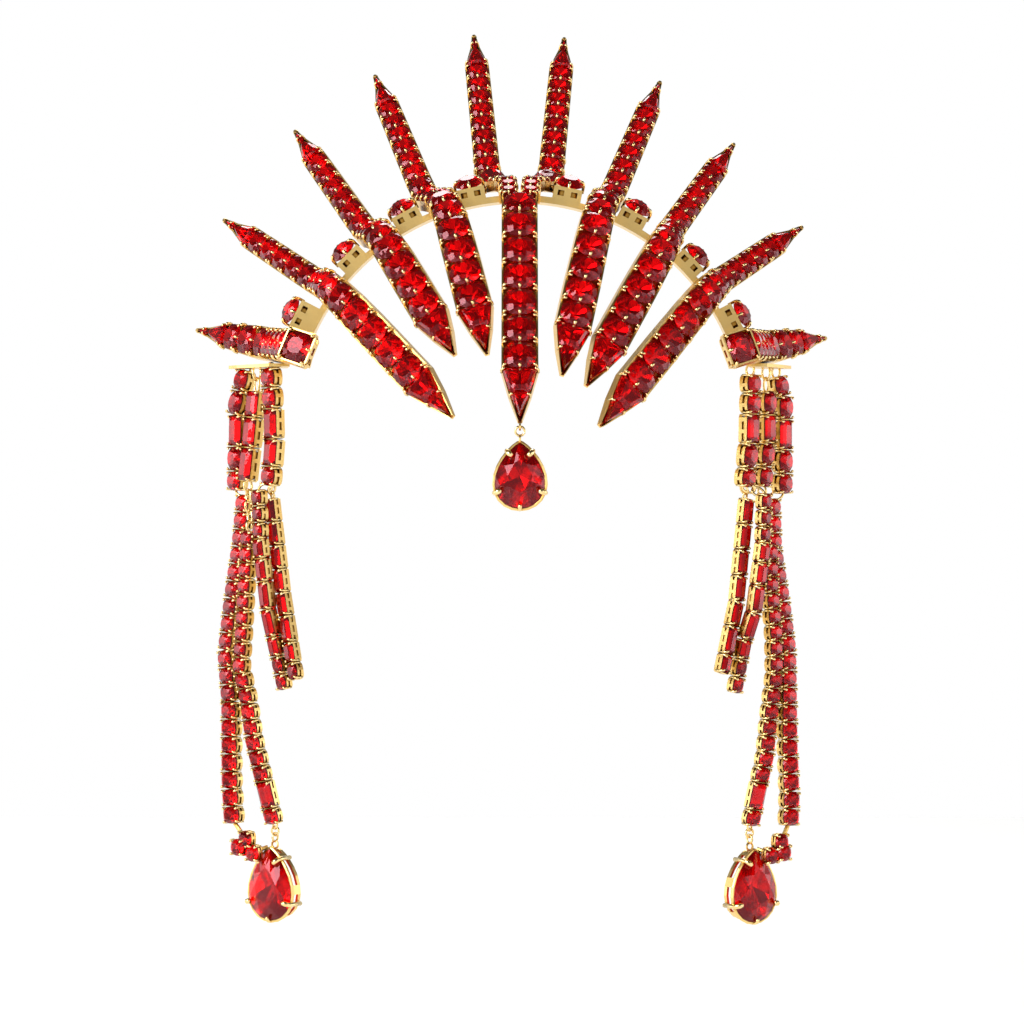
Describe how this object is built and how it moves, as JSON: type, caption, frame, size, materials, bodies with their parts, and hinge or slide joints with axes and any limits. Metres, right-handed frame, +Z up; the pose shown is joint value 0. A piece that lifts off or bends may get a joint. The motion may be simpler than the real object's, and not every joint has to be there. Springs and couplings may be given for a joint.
{
  "type": "fringe tiara",
  "caption": "Arched fringe tiara of tapering claw-set red stone rays on a gold headband, with a forehead pear drop and long temple tassels that end in pear drops.",
  "frame": {"origin": "the middle of the headband's underside, where it rests on the crown of the head", "axes": "+Z up, +X towards the viewer's right, -Y the front of the worn piece"},
  "size_m": [0.2065, 0.1358, 0.2894],
  "materials": {
    "gold": "gold-plated brass, polished claws and satin channel sides",
    "ruby": "foiled lead glass, ruby red, faceted and polished"
  },
  "bodies": {
    "tiara": {"headband": "gold", "ray_frame_left_outer": "gold", "ray_frame_left_middle": "gold", "ray_frame_left_inner": "gold", "ray_frame_centre": "gold", "ray_frame_right_inner": "gold", "ray_frame_right_middle": "gold", "ray_frame_right_outer": "gold", "crest_frame_left": "gold", "temple_frame_left": "gold", "pear_setting_left": "gold", "ring_lower_left": "gold", "ring_upper_left": "gold", "tassel_inner_left": "gold", "tassel_middle_left": "gold", "tassel_outer_left": "gold", "tail_front_left": "gold", "tail_back_left": "gold", "chain_outer_left": "gold", "chain_inner_left": "gold", "crest_frame_right": "gold", "temple_frame_right": "gold", "pear_setting_right": "gold", "ring_lower_right": "gold", "ring_upper_right": "gold", "tassel_inner_right": "gold", "tassel_middle_right": "gold", "tassel_outer_right": "gold", "tail_front_right": "gold", "tail_back_right": "gold", "chain_outer_right": "gold", "chain_inner_right": "gold", "headband_stones": "ruby", "ray_stones_left_outer": "ruby", "ray_stones_left_middle": "ruby", "ray_stones_left_inner": "ruby", "ray_stones_centre": "ruby", "ray_stones_right_inner": "ruby", "ray_stones_right_middle": "ruby", "ray_stones_right_outer": "ruby", "crest_stones_left": "ruby", "temple_stones_left": "ruby", "pear_stone_left": "ruby", "crest_stones_right": "ruby", "temple_stones_right": "ruby", "pear_stone_right": "ruby"},
    "drop_ring": {"drop_ring": "gold"},
    "drop": {"drop_setting": "gold", "drop_stone": "ruby"}
  },
  "joints": [
    {"name": "ring_swing", "type": "hinge", "parent": "tiara", "child": "drop_ring", "pos_m": [0, -0.0653, -0.07217], "axis": [1, 0, 0], "range_deg": [-80, 15]},
    {"name": "drop_sway", "type": "hinge", "parent": "drop_ring", "child": "drop", "pos_m": [0, -0.0653, -0.0735], "axis": [0, 1, 0], "range_deg": [-40, 40]}
  ]
}
